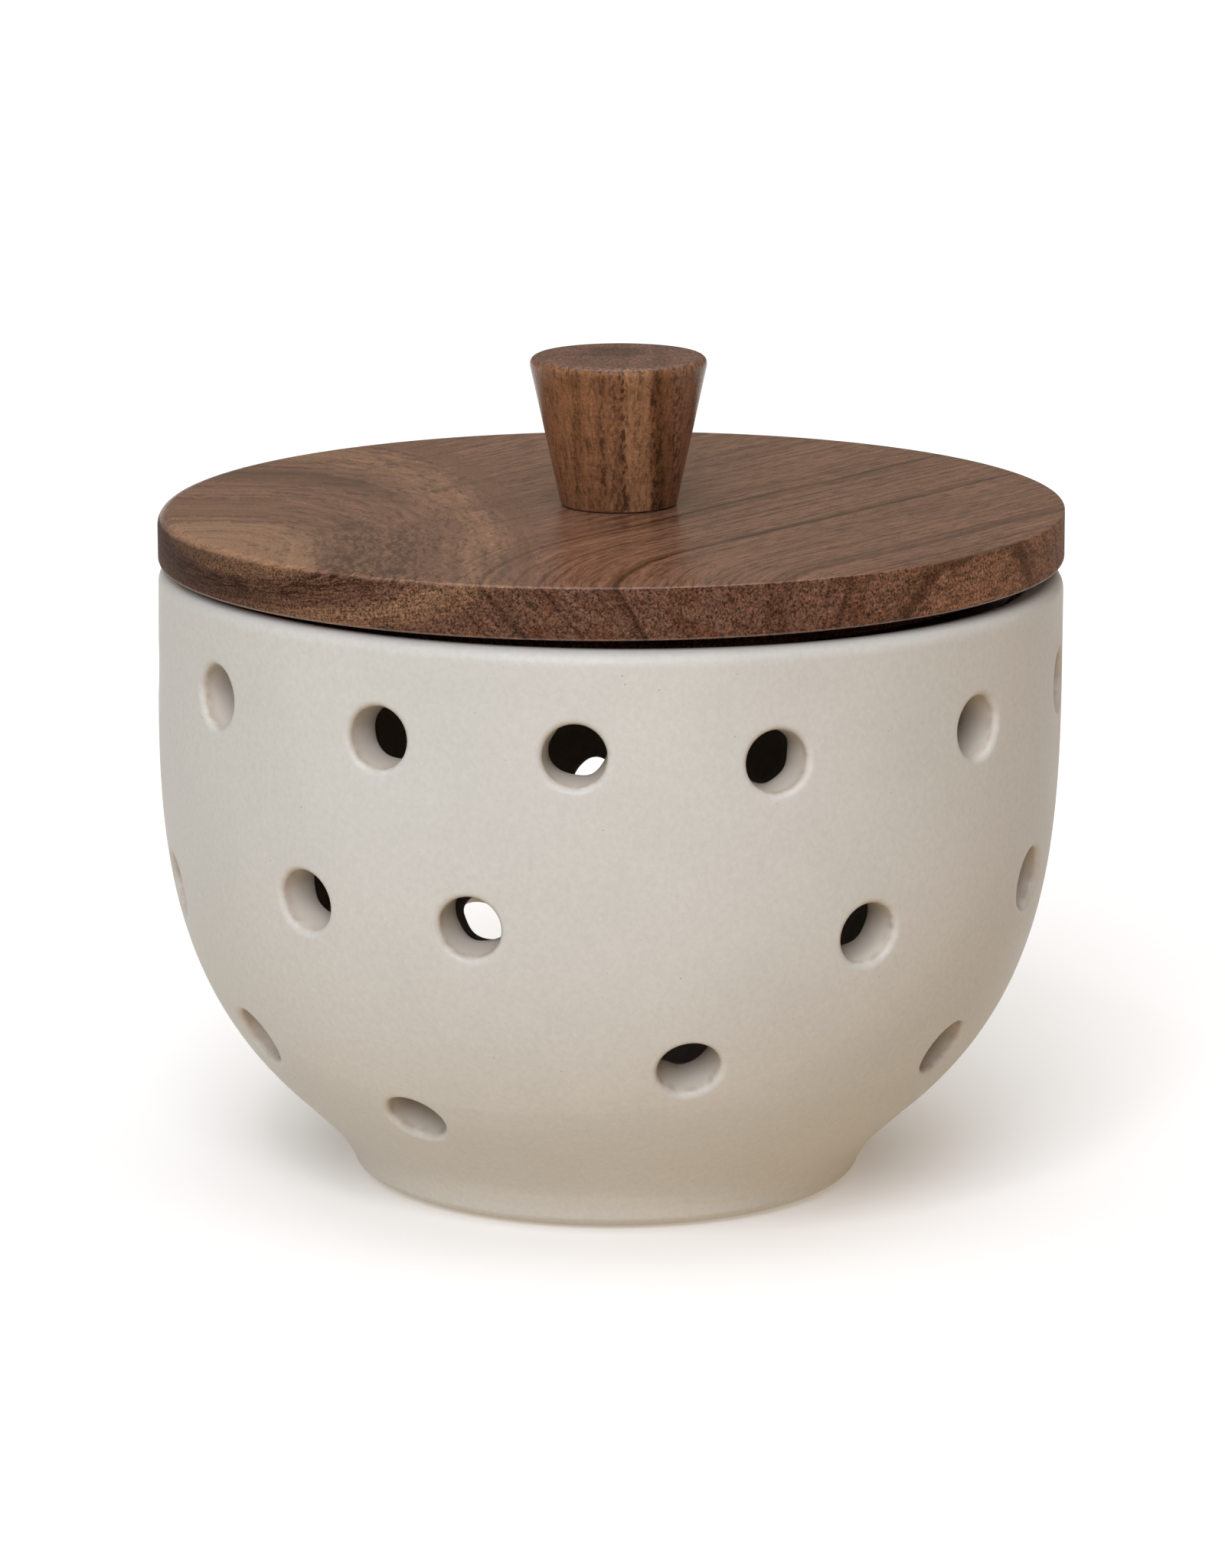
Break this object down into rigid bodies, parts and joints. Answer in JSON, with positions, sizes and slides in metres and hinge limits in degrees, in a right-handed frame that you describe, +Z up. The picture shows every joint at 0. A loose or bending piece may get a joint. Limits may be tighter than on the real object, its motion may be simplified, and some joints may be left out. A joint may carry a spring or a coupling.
{
  "type": "garlic keeper",
  "caption": "Round footed stoneware bowl pierced with air holes, with a flat wooden lid that lifts off by a tapered knob.",
  "frame": {"origin": "centre of the foot ring's underside, on the surface that the bowl stands on", "axes": "+Z up through the bowl and knob; -Y towards the front; +X to the viewer's right, the side where the lid stands slightly high"},
  "size_m": [0.1401, 0.14, 0.1291],
  "materials": {
    "stoneware": "satin cream glaze",
    "acacia": "oiled",
    "silicone": "matte",
    "steel": "zinc plated"
  },
  "bodies": {
    "bowl": {"bowl": "stoneware"},
    "seal": {"seal_ring": "silicone"},
    "lid": {"lid_board": "acacia", "knob": "acacia", "knob_screw": "steel"}
  },
  "joints": [
    {"name": "lid_lift", "type": "slide", "parent": "bowl", "child": "seal", "axis": [0, 0, 1], "range_m": [0, 0.14]},
    {"name": "lid_turn", "type": "hinge", "parent": "seal", "child": "lid", "pos_m": [0, 0, 0.0976], "axis": [-0.0112, 0, 0.9999], "continuous": true}
  ]
}
